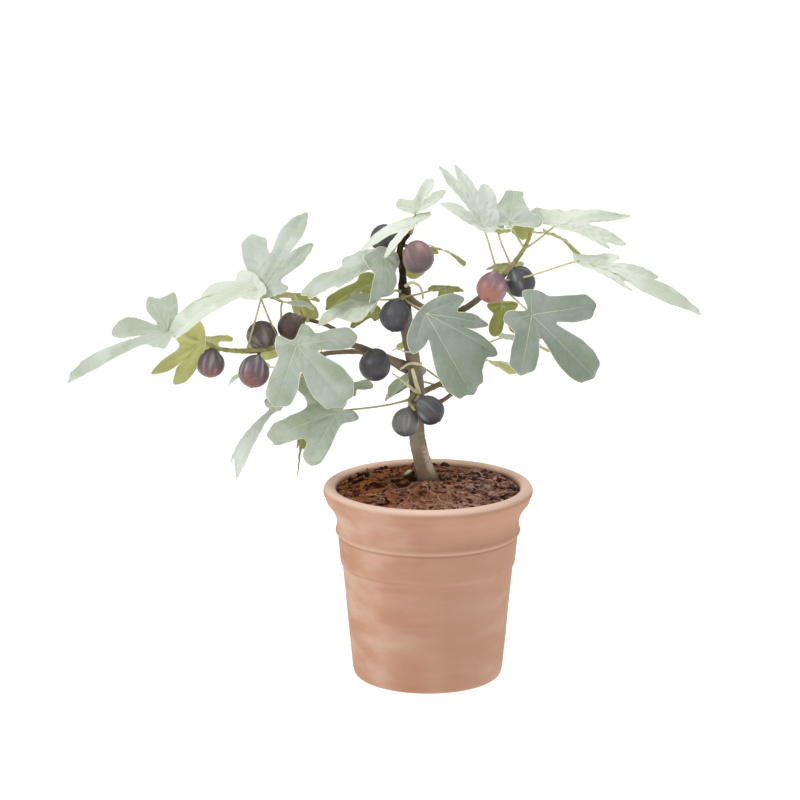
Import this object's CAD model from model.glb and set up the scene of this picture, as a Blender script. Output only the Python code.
"""A young fig tree in a terracotta pot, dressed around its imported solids. Metres, +Z up.

Sizes of the plant are written in millimetres and turned into metres where a mesh is made.
"""
import itertools
import math

import bpy
import numpy as np
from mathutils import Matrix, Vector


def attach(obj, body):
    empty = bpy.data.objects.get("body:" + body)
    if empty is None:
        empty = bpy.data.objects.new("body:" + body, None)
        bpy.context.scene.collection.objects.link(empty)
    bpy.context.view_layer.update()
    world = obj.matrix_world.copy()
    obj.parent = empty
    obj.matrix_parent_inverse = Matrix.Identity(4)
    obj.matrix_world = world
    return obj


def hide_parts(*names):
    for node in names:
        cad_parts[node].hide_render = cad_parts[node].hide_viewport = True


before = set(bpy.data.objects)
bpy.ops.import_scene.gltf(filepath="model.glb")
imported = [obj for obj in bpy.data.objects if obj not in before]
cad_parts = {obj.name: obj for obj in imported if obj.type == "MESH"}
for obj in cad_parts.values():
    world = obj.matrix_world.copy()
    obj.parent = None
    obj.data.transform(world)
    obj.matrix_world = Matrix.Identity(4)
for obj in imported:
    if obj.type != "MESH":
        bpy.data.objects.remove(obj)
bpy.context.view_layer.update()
scene = bpy.context.scene

# ---------------------------------------------------------------- camera, light and floor
# A long lens looks slightly down on the plant, which stands on a white floor in soft light:
# a pale sky all round, a large window of light high on the left, one above and a weak one right.
CAMERA = {"target": (-0.043, 0.0, 0.437), "distance": 5.8, "pitch": 13.9, "lens": 170.4}
SKY = {"Color": (1.0, 0.99, 0.97, 1), "Strength": 0.4}
LIGHTS = {  # name: (place, size, power, colour), each aimed at the crown
    "key": ((-3.4, -1.5, 3.0), 1.8, 88, (1.0, 0.985, 0.955)),
    "fill": ((3.3, -0.8, 1.6), 2.0, 16, (0.97, 0.985, 1.0)),
    "top": ((0.4, 0.6, 4.0), 2.4, 64, (1.0, 1.0, 0.99)),
}
CROWN = np.array((-0.03, 0.0, 0.5))
FLOOR = {"reach": 16.0, "colour": (0.25, 0.25, 0.25), "roughness": 0.9, "glow": 0.97}

pitch = math.radians(CAMERA["pitch"])
back, rise = CAMERA["distance"] * math.cos(pitch), CAMERA["distance"] * math.sin(pitch)
aim = CAMERA["target"]
camera = bpy.data.objects.new("camera", bpy.data.cameras.new("camera"))
camera.data.lens = CAMERA["lens"]
camera.data.clip_end = 100
camera.location = (aim[0], aim[1] - back, aim[2] + rise)
camera.rotation_euler = (math.pi / 2 - pitch, 0, 0)
scene.collection.objects.link(camera)
scene.camera = camera

scene.view_settings.view_transform = "Standard"
world = bpy.data.worlds.new("pale sky")
world.use_nodes = True
for socket, value in SKY.items():
    world.node_tree.nodes["Background"].inputs[socket].default_value = value
scene.world = world

for name, (place, size, power, colour) in LIGHTS.items():
    lamp = bpy.data.objects.new(name, bpy.data.lights.new(name, "AREA"))
    lamp.data.shape = "DISK"
    lamp.data.size = size
    lamp.data.energy = power
    lamp.data.color = colour
    lamp.location = place
    toward = Vector(CROWN - np.array(place))
    lamp.rotation_euler = toward.to_track_quat("-Z", "Y").to_euler()
    scene.collection.objects.link(lamp)


class Value:
    """A shader socket that takes part in arithmetic: each operator adds its Math node."""

    def __init__(self, finish, socket):
        self.finish = finish
        self.socket = socket

    def _math(self, operation, first, second):
        return self.finish.node("ShaderNodeMath", {"operation": operation}, {0: first, 1: second})

    def __add__(self, other):
        return self._math("ADD", self, other)

    def __sub__(self, other):
        return self._math("SUBTRACT", self, other)

    def __rsub__(self, other):
        return self._math("SUBTRACT", other, self)

    def __mul__(self, other):
        return self._math("MULTIPLY", self, other)

    __radd__ = __add__
    __rmul__ = __mul__

    def smooth(self, low, high):
        """0 below low, 1 above high, and a smooth step between."""
        settings = {"interpolation_type": "SMOOTHSTEP"}
        return self.finish.node("ShaderNodeMapRange", settings, {0: self, 1: low, 2: high})


class Finish:
    """One material and its nodes."""

    def __init__(self, name):
        self.material = bpy.data.materials.new(name)
        self.material.use_nodes = True
        self.tree = self.material.node_tree
        self.shader = self.tree.nodes["Principled BSDF"]

    def node(self, kind, settings, sockets, out=0):
        """A node of that type: its settings are made first, and then its sockets, found by place
        or by name, get their values or links."""
        made = self.tree.nodes.new(kind)
        for key, value in settings.items():
            setattr(made, key, value)
        for key, value in sockets.items():
            self.feed(made.inputs[key], value)
        return Value(self, made.outputs[out])

    def feed(self, socket, value):
        """Links a socket or sets it to a number, a vector or a colour of three parts."""
        if isinstance(value, Value):
            self.tree.links.new(value.socket, socket)
        else:
            socket.default_value = (*value, 1) if socket.type == "RGBA" else value

    def place(self):
        return self.node("ShaderNodeTexCoord", {}, {}, out="Object")

    def stretched(self, scale):
        """Object coordinates times a scale on each axis."""
        sockets = {0: self.place(), 1: scale}
        return self.node("ShaderNodeVectorMath", {"operation": "MULTIPLY"}, sockets)

    def along(self, axis):
        """One of the Object coordinates, in metres."""
        return self.node("ShaderNodeSeparateXYZ", {}, {0: self.place()}, out=axis)

    def noise(self, scale, detail, at=None):
        sockets = {"Vector": at or self.place(), "Scale": scale, "Detail": detail}
        return self.node("ShaderNodeTexNoise", {}, sockets)

    def attribute(self, name):
        return self.node("ShaderNodeAttribute", {"attribute_name": name}, {}, out="Fac")

    def layers(self, colour, *covers):
        """A colour under others that are laid on in turn, each a share of cover and its colour."""
        for share, over in covers:
            sockets = {0: share, 6: colour, 7: over}
            colour = self.node("ShaderNodeMix", {"data_type": "RGBA"}, sockets, out=2)
        return colour

    def surface(self, colour, roughness, relief=None, strength=0.3, depth=0.001, shine=0.5,
                **others):
        """Sets the shader's sockets. The relief stands up to depth metres high, times strength."""
        sockets = {"Base Color": colour, "Roughness": roughness, "Specular IOR Level": shine}
        if relief is not None:
            bump = {"Strength": strength, "Distance": depth, "Height": relief}
            sockets["Normal"] = self.node("ShaderNodeBump", {}, bump)
        sockets.update((name.replace("_", " "), value) for name, value in others.items())
        for name, value in sockets.items():
            self.feed(self.shader.inputs[name], value)
        return self.material


floor = bpy.data.objects.new("floor", bpy.data.meshes.new("floor"))
corners = [(east * FLOOR["reach"], north * FLOOR["reach"], 0)
           for east, north in ((-1, -1), (1, -1), (1, 1), (-1, 1))]
floor.data.from_pydata(corners, [], [(0, 1, 2, 3)])
white = Finish("white floor")
glow = {"Emission_Color": (1, 1, 1), "Emission_Strength": FLOOR["glow"]}
white.surface(FLOOR["colour"], FLOOR["roughness"], **glow)
floor.data.materials.append(white.material)
scene.collection.objects.link(floor)

# ---------------------------------------------------------------- pot
# A thrown terracotta planter: a tapered wall with a raised band and a bead below a flared collar
# and a thick rolled lip, unglazed, with soft turning marks, a pale bloom of lime and drain holes.
MM = 0.001
POT = {
    "height": 304, "rim": 161.5, "lip": 10.0, "neck": 140.5, "neck_height": 245, "flare": 1.9,
    "bead_height": 231, "bead_out": 3.2, "bead_below": 2.4, "bead_above": 7.0,
    "band": 135, "band_height": 181, "band_out": 2.8, "band_edge": 1.1,
    "foot": 115, "foot_round": 9, "wall": 11, "base": 14, "cove": 6,
}
POT_SIDES = 240
POT_RINGS = {  # where the mesh has its rings: as first, last and count, or one by one
    "foot": (-90, -8, 9),  # degrees round the foot's edge
    "wall": (12, 168, 40), "below_neck": (170, 245, 64),  # heights, closer at the band and the bead
    "flare": (0.06, 0.86, 14),  # shares of the way from the neck to the lip
    "lip": (-40, 176, 26),  # degrees round the lip
    "inner_rim": (286.0, 278, 270), "inside": (245, 200, 150, 100, 50, 20),  # heights
    "floor": (80, 4), "under": (4, 45, 85),  # radii
}
MARKS = {"climb": 2.2, "pitch": 2.4, "depth": 0.07, "drum": 40, "foot": (6, 12), "outside": 100}
UNEVEN = {  # amount, size and seed
    "pitch": (2, 55, 4), "fade": (0.5, 34, 5), "wall": (0.5, 60, 6), "skin": (0.12, 22, 7),
}
DRAIN = {"count": 3, "radius": 9, "ring": 62, "sides": 40, "spare": 8.0}
CLAY = {
    "fired": (0.475, 0.25, 0.155), "paler": (0.53, 0.295, 0.2), "turned": (0.57, 0.33, 0.235),
    "lip": (0.88, 0.63, 0.52), "lime": (0.76, 0.57, 0.46), "bead": (0.7, 0.47, 0.36),
    "shade": (0.33, 0.16, 0.1), "speck": (0.42, 0.23, 0.15), "earthy": (0.27, 0.13, 0.07),
}


class Bundle:
    """Surfaces in millimetres, gathered into one mesh."""

    def __init__(self):
        self.points = []
        self.faces = []
        self.finish = []
        self.values = []
        self.count = 0

    def add(self, points, faces, finish=0, values=None):
        """Points and faces of one surface, a finish number for each face, and a row of values for
        each point."""
        self.points.append(points)
        self.faces.extend((np.asarray(block) + self.count).tolist() for block in faces)
        self.finish.append(np.broadcast_to(finish, sum(len(block) for block in faces)))
        self.values.append(values)
        self.count += len(points)

    def skin(self, rows, finish=None, values=None, poles=None):
        """Closed rings of points joined from first to last, with a pole closing each end. Finish is
        a number for each ring, and values one or more for each point of each ring."""
        count, sides = rows.shape[:2]
        at = np.arange(count * sides).reshape(count, sides)
        on = np.roll(at, -1, axis=1)
        quads = np.stack([at[:-1], on[:-1], on[1:], at[1:]], axis=-1).reshape(-1, 4)
        ends = (rows[0].mean(0), rows[-1].mean(0)) if poles is None else poles
        first, last = count * sides, count * sides + 1
        fan = np.stack([np.full(sides, first), on[0], at[0]], axis=-1)
        close = np.stack([np.full(sides, last), at[-1], on[-1]], axis=-1)
        points = np.concatenate([rows.reshape(-1, 3), np.array(ends)])
        number = 0
        if finish is not None:
            at_ends = np.repeat(finish[[0, -1]], sides)
            number = np.concatenate([np.repeat(finish[:-1], sides), at_ends])
        if values is not None:
            values = np.atleast_3d(values)
            values = np.concatenate([values.reshape(count * sides, -1), values[[0, -1], 0]])
        self.add(points, [quads, fan, close], number, values)

    def piece(self, name, slot, nodes, *materials, value_names=()):
        """The gathered mesh as a piece that rides on the plant and stands for those nodes."""
        mesh = bpy.data.meshes.new(name)
        faces = [face for block in self.faces for face in block]
        mesh.from_pydata((np.concatenate(self.points) * MM).tolist(), [], faces)
        mesh.polygons.foreach_set("material_index", np.concatenate(self.finish).astype(np.int32))
        mesh.polygons.foreach_set("use_smooth", np.ones(len(faces), bool))
        for column, value_name in enumerate(value_names):
            layer = mesh.attributes.new(value_name, "FLOAT", "POINT")
            numbers = np.concatenate(self.values)[:, column].astype(np.float32)
            layer.data.foreach_set("value", numbers)
        for material in materials:
            mesh.materials.append(material)
        mesh.validate()
        made = bpy.data.objects.new(name, mesh)
        scene.collection.objects.link(made)
        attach(made, "root")
        if nodes:
            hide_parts(*nodes)
        return made


def noise(points, size, seed):
    """Value noise from -1 to 1: a random number at each corner of cells of that size, blended
    across the cell by a smooth step."""
    scaled = np.asarray(points, float) / size
    cell = np.floor(scaled).astype(np.int64)
    part = scaled - cell
    part = part * part * (3 - 2 * part)
    total = np.zeros(scaled.shape[:-1])
    for corner in itertools.product((0, 1), repeat=3):
        spot = (cell + corner) @ np.array((73856093, 19349663, 83492791)) + seed * 9176
        spot = (spot ^ (spot >> 13)) * 1274126177 & 0x7FFFFFFF
        spot = (spot ^ (spot >> 15)) * 362437 & 0x7FFFFFFF
        share = np.prod(np.where(corner, part, 1 - part), axis=-1)
        total += share * (spot / 0x7FFFFFFF * 2 - 1)
    return total


def fractal(points, size, seed, octaves):
    """Noise at a size, plus half as much at half the size, and so on."""
    return sum(noise(points, size / 2**step, seed + step) / 2**step for step in range(octaves))


def circle(sides):
    """Angles evenly round a circle."""
    return np.linspace(0, 2 * np.pi, sides, endpoint=False)


def bell(off, width):
    """The bell curve exp(-(x / width)^2)."""
    return np.exp(-((off / width) ** 2))


def pot_wall(height):
    """The plain wall's radius: a straight taper to the band, then a little steeper to the neck,
    joined at the band's lower edge by the step 1 / (1 + exp(-z))."""
    low = np.interp(height, (0, POT["band_height"]), (POT["foot"], POT["band"] - POT["band_out"]))
    high = np.interp(height, (POT["band_height"], POT["neck_height"]), (POT["band"], POT["neck"]))
    step = 1 / (1 + np.exp(-(height - POT["band_height"] + 1) / POT["band_edge"]))
    return low * (1 - step) + high * step


def arc(middle, radius, angles):
    """Points on a circle about middle. The angles are the first, the last and their count."""
    angle = np.radians(np.linspace(*angles))
    out, up = middle[0] + radius * np.cos(angle), middle[1] + radius * np.sin(angle)
    return np.stack([out, up], axis=-1)


def pot_profile():
    """Radius and height from under the foot, up the outside, over the lip and down the inside. The
    bead is a bell curve, steeper below, and the collar flares as a power of its height."""
    neck, neck_height, lip, edge = POT["neck"], POT["neck_height"], POT["lip"], POT["foot_round"]
    foot = arc((POT["foot"] - edge, edge), edge, POT_RINGS["foot"])
    rise = np.concatenate([np.linspace(*POT_RINGS["wall"]), np.linspace(*POT_RINGS["below_neck"])])
    off_bead = rise - POT["bead_height"]
    reach = np.where(off_bead > 0, POT["bead_above"], POT["bead_below"])
    outside = np.stack([pot_wall(rise) + POT["bead_out"] * bell(off_bead, reach), rise], axis=-1)
    share = np.linspace(*POT_RINGS["flare"])
    out = neck + (POT["rim"] - neck) * share ** POT["flare"]
    up = neck_height + (POT["height"] - 2 * lip - neck_height) * share
    flare = np.stack([out, up], axis=-1)
    rolled = arc((POT["rim"] - lip, POT["height"] - lip), lip, POT_RINGS["lip"])
    inner_edge = POT["rim"] - 2 * lip
    inner_rim = [(inner_edge, height) for height in POT_RINGS["inner_rim"]]
    down = np.array(POT_RINGS["inside"])
    inside = np.stack([np.minimum(pot_wall(down) - POT["wall"], inner_edge), down], axis=-1)
    cove = pot_wall(POT["base"]) - POT["wall"] - POT["cove"]
    floor_rings = [(radius, POT["base"]) for radius in (cove, *POT_RINGS["floor"])]
    under = [(radius, 0) for radius in POT_RINGS["under"]]
    return np.concatenate([under, foot, outside, flare, rolled, inner_rim, inside, floor_rings])


def turned(profile, sides, swell=None):
    """A surface of revolution: each profile point (r, z) swept to (r cos a, r sin a, z), with r
    grown by swell(r, z, a)."""
    angle = circle(sides)
    radius, height = profile[:, :1], profile[:, 1:]
    if swell:
        radius = radius + swell(radius, height, angle[None])
    flat = np.broadcast_to(height, (len(profile), sides))
    return np.stack([radius * np.cos(angle), radius * np.sin(angle), flat], axis=-1)


def turning_marks(radius, height, angle):
    """Shallow grooves left by the fingers, a sine of the height that climbs slowly round the wall,
    and a slight unevenness of the wall. The foot's underside and the holes' floor stay flat."""
    east, north = MARKS["drum"] * np.cos(angle), MARKS["drum"] * np.sin(angle)
    spot = np.stack(np.broadcast_arrays(east, north, height), axis=-1)

    def uneven(kind, flatter=1.0):
        amount, size, seed = UNEVEN[kind]
        return amount * noise(spot * (1, 1, flatter), size, seed)

    climb = height + MARKS["climb"] * angle / (2 * np.pi)
    groove = MARKS["depth"] * np.sin(climb / MARKS["pitch"] + uneven("pitch"))
    groove = groove * (0.5 + uneven("fade"))
    foot, reach = MARKS["foot"]
    wall = np.clip((height - foot) / reach, 0, 1) * (radius > MARKS["outside"])
    return (groove + (uneven("wall") + uneven("skin", 2.5))) * wall


terracotta = Finish("terracotta")
east, north, up = (terracotta.along(axis) for axis in "XYZ")
bands = terracotta.noise(9.0, 2.0, terracotta.stretched((1.0, 1.0, 0.22)))
turning = terracotta.noise(5.0, 5.0, terracotta.stretched((1.4, 1.4, 20.0)))
patches = terracotta.noise(10.0, 5.0, terracotta.stretched((1.0, 1.0, 2.4)))
speckle = terracotta.noise(420.0, 4.0)
lip = (up + turning * 0.006).smooth(0.298, 0.305)
left_lime = (0 - east + patches * 0.05).smooth(-0.03, 0.15) * 0.5
low_right = (east + patches * 0.05).smooth(0.05, 0.16) * (1 - (up + patches * 0.1).smooth(0.2, 0.3))
lime = patches.smooth(0.34, 0.74) * (left_lime + low_right * 0.34)
bead_light = up.smooth(0.2275, 0.2295) * (1 - up.smooth(0.231, 0.236))
bead_shade = up.smooth(0.2225, 0.2255) * (1 - up.smooth(0.2265, 0.2285))
band_shade = up.smooth(0.176, 0.179) * (1 - up.smooth(0.18, 0.183)) * turning.smooth(0.4, 0.6)
inner_wall = up.smooth(0.262, 0.268) * (1 - (east * east + north * north).smooth(0.0201, 0.0212))
earthy = inner_wall * (1 - (up - patches * 0.012).smooth(0.285, 0.298))
clay = terracotta.layers(
    CLAY["fired"],
    (bands.smooth(0.36, 0.64), CLAY["paler"]),
    (turning.smooth(0.38, 0.7) * 0.25, CLAY["turned"]),
    (lip * 0.95, CLAY["lip"]),
    (lime, CLAY["lime"]),
    (bead_light * 0.4, CLAY["bead"]),
    (bead_shade * 0.5 + band_shade * 0.35, CLAY["shade"]),
    (speckle.smooth(0.62, 0.8) * 0.2, CLAY["speck"]),
    (earthy * 0.75, CLAY["earthy"]),
)
terracotta.surface(clay, 0.85, speckle + turning * 0.8, 0.2, 0.0005, 0.25)
pot = Bundle()
pot.skin(turned(pot_profile(), POT_SIDES, turning_marks))
pot_piece = pot.piece("terracotta_pot", "terracotta", ["pot"], terracotta.material)

drills = Bundle()
low, top = -DRAIN["spare"], POT["base"] + DRAIN["spare"]
shaft = np.array([(DRAIN["radius"], low), (DRAIN["radius"], top)])
for hole in range(DRAIN["count"]):
    turn = 2 * math.pi * hole / DRAIN["count"] + math.pi / 2
    middle = np.array((DRAIN["ring"] * math.cos(turn), DRAIN["ring"] * math.sin(turn), 0))
    drills.skin(turned(shaft, DRAIN["sides"]) + middle)
drill_piece = drills.piece("drills", "terracotta", [])
bore = pot_piece.modifiers.new("drain holes", "BOOLEAN")
bore.operation = "DIFFERENCE"
bore.solver = "EXACT"
bore.object = drill_piece
bpy.context.view_layer.update()
drilled = pot_piece.evaluated_get(bpy.context.evaluated_depsgraph_get())
drilled = bpy.data.meshes.new_from_object(drilled)
pot_piece.modifiers.clear()
pot_piece.data = drilled
bpy.data.objects.remove(drill_piece)

# ---------------------------------------------------------------- soil
# Crumbly reddish potting soil, mounded about the trunk in clods. It is matted and damp at the
# front, redder on the left and greyer on the right, with a fibrous crust at the front right.
SOIL = {
    "knots": (0, 55, 100, 138), "heights": (304, 304, 301.2, 297), "settled": 2.4,
    "edge": 139.3, "side": ((96.0, 14.3), (108, 15), (113, 60), (119, 150), (128, 245), (137, 274)),
    "sides": 300, "rings": 150,
}
LUMPS = ((3.2, 34, 11, 2), (1.9, 12, 12, 3))  # height, size, seed and octaves
CRESTS = ((2.6, 17, 13, 5), (1.5, 8, 14, 4))  # height, size, seed and sharpness
WARP = {"by": 7, "size": 22, "seed": 15}
CALM = {"wall": 139, "wall_reach": 12, "trunk_north": 25, "trunk": 14, "trunk_reach": 16,
        "least": 0.15}  # the lumps die away at the wall, and nearly do at the trunk
HUMUS = {
    "warm": ((0.045, 0.013, 0.005), (0.4, 0.15, 0.056)),
    "cool": ((0.075, 0.031, 0.023), (0.48, 0.29, 0.235)),
    "matted": (0.27, 0.1, 0.055), "crust": (0.42, 0.25, 0.195), "gaps": (0.12, 0.05, 0.035),
    "grit": (0.46, 0.24, 0.16),
}


def soil_height(x, y):
    """The mound's height: flat near the trunk, falling to the wall, with lumps at two sizes and
    crests where the noise passes through none, as in matted fibre."""
    radius = np.hypot(x, y)
    smooth = np.interp(radius, SOIL["knots"], SOIL["heights"])
    spot = np.stack([x, y, np.zeros_like(x)], axis=-1)
    lumps = sum(high * fractal(spot, size, seed, octaves) for high, size, seed, octaves in LUMPS)
    warped = spot + WARP["by"] * noise(spot, WARP["size"], WARP["seed"])[..., None]
    crests = sum(
        high * (1 - np.abs(noise(warped, size, seed))) ** sharp
        for high, size, seed, sharp in CRESTS
    )
    from_wall = np.clip((CALM["wall"] - radius) / CALM["wall_reach"], 0, 1)
    from_trunk = (np.hypot(x, y - CALM["trunk_north"]) - CALM["trunk"]) / CALM["trunk_reach"]
    from_trunk = np.clip(from_trunk, CALM["least"], 1)
    return smooth - SOIL["settled"] + (lumps + crests) * from_wall * from_trunk


def soil_rows():
    """Rings from under the soil, up its side and in over its top, which follows soil_height. They
    lie closer towards the wall, as the square root of an even share."""
    angle = circle(SOIL["sides"])
    radius = (SOIL["edge"] * np.sqrt(np.linspace(1, 0.0002, SOIL["rings"])))[:, None]
    x, y = radius * np.cos(angle), radius * np.sin(angle)
    side = turned(np.array(SOIL["side"]), SOIL["sides"])
    return np.concatenate([side, np.stack([x, y, soil_height(x, y)], axis=-1)])


earth = Finish("potting soil")
east, north = earth.along("X"), earth.along("Y")
clods = earth.noise(55.0, 6.0)
fine = earth.noise(300.0, 5.0)
damp = earth.noise(13.0, 3.0)
fibres = earth.noise(130.0, 5.0, earth.stretched((0.5, 1.0, 1.0)))
raised = clods.smooth(0.4, 0.6)
warm, cool = (earth.layers(low, (raised, high)) for low, high in (HUMUS["warm"], HUMUS["cool"]))
front = (0 - north + damp * 0.06).smooth(0.04, 0.1)
matted = (damp.smooth(0.46, 0.6) + front).smooth(0.5, 1.4) * clods.smooth(0.33, 0.48)
crust = (east * 0.35 - north + damp * 0.05).smooth(0.095, 0.135) * clods.smooth(0.3, 0.48)
humus = earth.layers(
    warm,
    ((east + damp * 0.12).smooth(0.04, 0.13), cool),
    (matted * 0.75, HUMUS["matted"]),
    (crust * (0.25 + fibres.smooth(0.38, 0.6) * 0.6), HUMUS["crust"]),
    (crust * (1 - fibres.smooth(0.3, 0.44)) * 0.6, HUMUS["gaps"]),
    (fine.smooth(0.58, 0.75) * 0.35, HUMUS["grit"]),
)
earth.surface(humus, 0.92, clods + fine * 0.4 + fibres * 0.5, 0.7, 0.002, 0.12)
ground = Bundle()
ground.skin(soil_rows())
ground.piece("potting_soil", "soil", ["soil"], earth.material)

# ---------------------------------------------------------------- crumbs on the soil
# Loose lumps of soil, bits of bark and flat flakes, strewn over the mound, thicker towards the
# wall. They are sunk in the matted patch at the front.
CRUMB_SEED = 5
CRUMBS = {  # count, smallest, largest, flatness, colour, and the cooler colour on the right
    "dark": (400, 2.2, 13.0, 0.7, (0.06, 0.02, 0.01), (0.1, 0.047, 0.037)),
    "red": (420, 2.0, 14.0, 0.5, (0.32, 0.105, 0.045), (0.34, 0.19, 0.155)),
    "pink": (200, 1.8, 12.0, 0.42, (0.42, 0.2, 0.12), (0.56, 0.38, 0.33)),
    "pale": (100, 1.4, 4.2, 0.5, (0.6, 0.42, 0.28), (0.7, 0.55, 0.48)),
    "flake": (54, 10.0, 30.0, 0.12, (0.3, 0.125, 0.06), (0.38, 0.22, 0.18)),
}
CRUMB = {"reach": 134, "outward": 0.36, "uneven": 0.5, "spread": 0.6, "lean": 0.9,
         "lift": 0.12, "sunk": 0.5, "matted_at": (2, -72), "matted_reach": (62, 60)}
GOLDEN = (1 + math.sqrt(5)) / 2
CRUMB_POINTS = np.array(
    [np.roll((a, b * GOLDEN, 0), shift) for shift in range(3) for a in (-1, 1) for b in (1, -1)]
) / math.hypot(1, GOLDEN)
neighbours = np.linalg.norm(CRUMB_POINTS[:, None] - CRUMB_POINTS, axis=-1) < 1.1
CRUMB_FACES = np.array(
    [face for face in itertools.combinations(range(12), 3)
     if all(neighbours[pair] for pair in itertools.combinations(face, 2))]
)
first, second, third = (CRUMB_POINTS[CRUMB_FACES[:, corner]] for corner in range(3))
inward = np.sum(np.cross(second - first, third - first) * (first + second + third), axis=1) < 0
CRUMB_FACES[inward] = CRUMB_FACES[inward][:, ::-1]
draw = np.random.default_rng(CRUMB_SEED).random


def tinted(colour, times, plus=0.0, most=1.0):
    """A colour with each part multiplied and added to, up to a limit."""
    return tuple(min(most, times * part + plus) for part in colour)


def crumbs(count, low, high, flatness):
    """Small lumps of twenty faces: a ball's corners moved at random, squashed, turned, leant and
    laid on the soil. Sizes go by the cube of a random share, so that few are large."""
    size = low + (high - low) * draw(count) ** 3
    angle = draw(count) * 2 * np.pi
    radius = CRUMB["reach"] * draw(count) ** CRUMB["outward"]
    x, y = radius * np.cos(angle), radius * np.sin(angle)
    corners = CRUMB_POINTS * (0.75 + CRUMB["uneven"] * draw((count, 12, 1)))
    wide, deep = (0.7 + CRUMB["spread"] * draw(count) for _ in range(2))
    spread = np.stack([wide, deep, np.full(count, flatness)], axis=-1)
    corners = corners * (size[:, None, None] / 2) * spread[:, None]
    turn = draw(count) * 2 * np.pi
    cos, sin = np.cos(turn)[:, None], np.sin(turn)[:, None]
    lean = (draw((count, 1)) - 0.5) * CRUMB["lean"]
    east, north, up = corners[..., 0], corners[..., 1], corners[..., 2]
    across, over = east * cos - north * sin, east * sin + north * cos
    points = np.stack([across, over, up + east * lean], axis=-1)
    (middle_x, middle_y), (reach_x, reach_y) = CRUMB["matted_at"], CRUMB["matted_reach"]
    matted = np.exp(-(((x - middle_x) / reach_x) ** 2) - ((y - middle_y) / reach_y) ** 2)
    height = soil_height(x, y) + size * (CRUMB["lift"] - CRUMB["sunk"] * matted)
    points += np.stack([x, y, height], axis=-1)[:, None]
    faces = CRUMB_FACES[None] + 12 * np.arange(count)[:, None, None]
    return points.reshape(-1, 3), [faces.reshape(-1, 3)]


for kind, (*sizes, colour, cooler) in CRUMBS.items():
    crumb = Finish(f"{kind} crumbs")
    grain = crumb.noise(150.0, 4.0)
    rightward = (crumb.along("X") + crumb.noise(13.0, 3.0) * 0.12).smooth(0.03, 0.13)
    raised = crumb.layers(colour, (rightward, cooler))
    skin = crumb.layers(tinted(colour, 0.5), (grain.smooth(0.4, 0.62), raised))
    crumb.surface(skin, 0.95, grain, 0.5, 0.0008, 0.12)
    litter = Bundle()
    litter.add(*crumbs(*sizes))
    litter.piece(f"soil_crumbs_{kind}", "soil", [], crumb.material)

# ---------------------------------------------------------------- roots and stubs in the soil
# Fine dry rootlets lie loose on the soil, and thicker surface roots run out from the trunk's foot,
# half sunk. The knob of an old cut stem stands beside the trunk, and a pale lump of root before it.
DRY_ROOTS = {
    "count": 46, "start": 120, "length": (22, 82), "thick": (0.5, 1.25), "reach": 132,
    "turn": 5, "waver": (0.7, 9), "hump": (1.0, 3.2), "taper": 0.6,
    "points": 26, "sides": 6, "colour": (0.58, 0.34, 0.22),
}
SURFACE_ROOTS = (  # x and y of the start, bearing, length, turning and thickness
    (-9, 12, -150, 96, 30, 4.2), (-4, 8, -118, 98, -24, 4.6), (2, 6, -84, 104, 22, 5.2),
    (8, 10, -52, 92, -30, 4.6), (12, 18, -18, 88, 26, 4.0), (-12, 22, 176, 78, 24, 3.6),
    (6, 36, 48, 74, -26, 3.0), (26, -34, -96, 70, 40, 3.4), (-30, -28, -72, 62, -40, 3.4),
    (60, -20, -140, 70, 40, 2.8), (-136, -38, 62, 62, -66, 1.7), (-72, -30, -66, 66, 40, 1.8),
    (44, -42, -20, 70, -34, 1.8), (84, 34, -96, 52, 60, 1.5), (22, -60, 200, 74, -50, 1.6),
)
SURFACE_ROOT = {"points": 44, "sides": 12, "reach": 134, "colour": (0.42, 0.205, 0.135)}
STUBS = {  # middle, radii from the foot to the top, their heights, and the colour where it is pale
    "old_stem": ((-28, 21), (2.0, 6.5, 8.2, 8.0, 5.2, 0.8), (300, 300, 307, 314, 319, 321),
                 (0.93, 0.84, 0.66)),
    "root_lump": ((-5, -14), (2.0, 9.0, 9.5, 7.5, 4.5, 0.6), (298, 299, 303, 307, 309, 309.8),
                  (0.6, 0.36, 0.28)),
}
STUB_DARK = (0.055, 0.026, 0.017)


def tube(path, radii, sides, carried=False):
    """Rings square to a path: p + r (cos a S + sin a T x S), for the path's direction T and a side
    S square to it. S is found from one fixed axis, or carried along the path without a twist where
    the path may turn any way. The radius may differ round the ring."""
    along = np.gradient(path, axis=0)
    along /= np.maximum(np.linalg.norm(along, axis=1, keepdims=True), 1e-9)
    if carried:
        side, sides_along = np.cross(along[0], np.eye(3)[np.argmin(np.abs(along[0]))]), []
        for forward in along:
            side = side - forward * (side @ forward)
            side /= np.linalg.norm(side)
            sides_along.append(side)
        side = np.array(sides_along)
    else:
        side = np.cross(along, np.eye(3)[np.argmin(np.abs(path[-1] - path[0]))])
        side /= np.linalg.norm(side, axis=1, keepdims=True)
    turn = circle(sides)[None, :, None]
    radii = np.asarray(radii, float)
    radii = radii[:, None, None] if radii.ndim == 1 else radii[..., None]
    side, other = side[:, None], np.cross(along, side)[:, None]
    return path[:, None] + radii * (np.cos(turn) * side + np.sin(turn) * other)


def crawl(x, y, heading, step, reach):
    """A root's course over the soil from (x, y), by equal steps along its headings, held within
    reach of the pot's axis."""
    x = x + np.cumsum(np.cos(heading)) * step
    y = y + np.cumsum(np.sin(heading)) * step
    near = np.minimum(1, reach / np.hypot(x, y))
    return x * near, y * near


def plain_finish(name, colour, roughness, scale=180.0, darker=0.62, strength=0.4):
    """A colour with a fine, slightly darker mottling and a grain in relief."""
    made = Finish(name)
    grain = made.noise(scale, 4.0)
    skin = made.layers(tinted(colour, darker), (grain.smooth(0.35, 0.68), colour))
    return made.surface(skin, roughness, grain, strength, 0.0006, 0.3)


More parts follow.
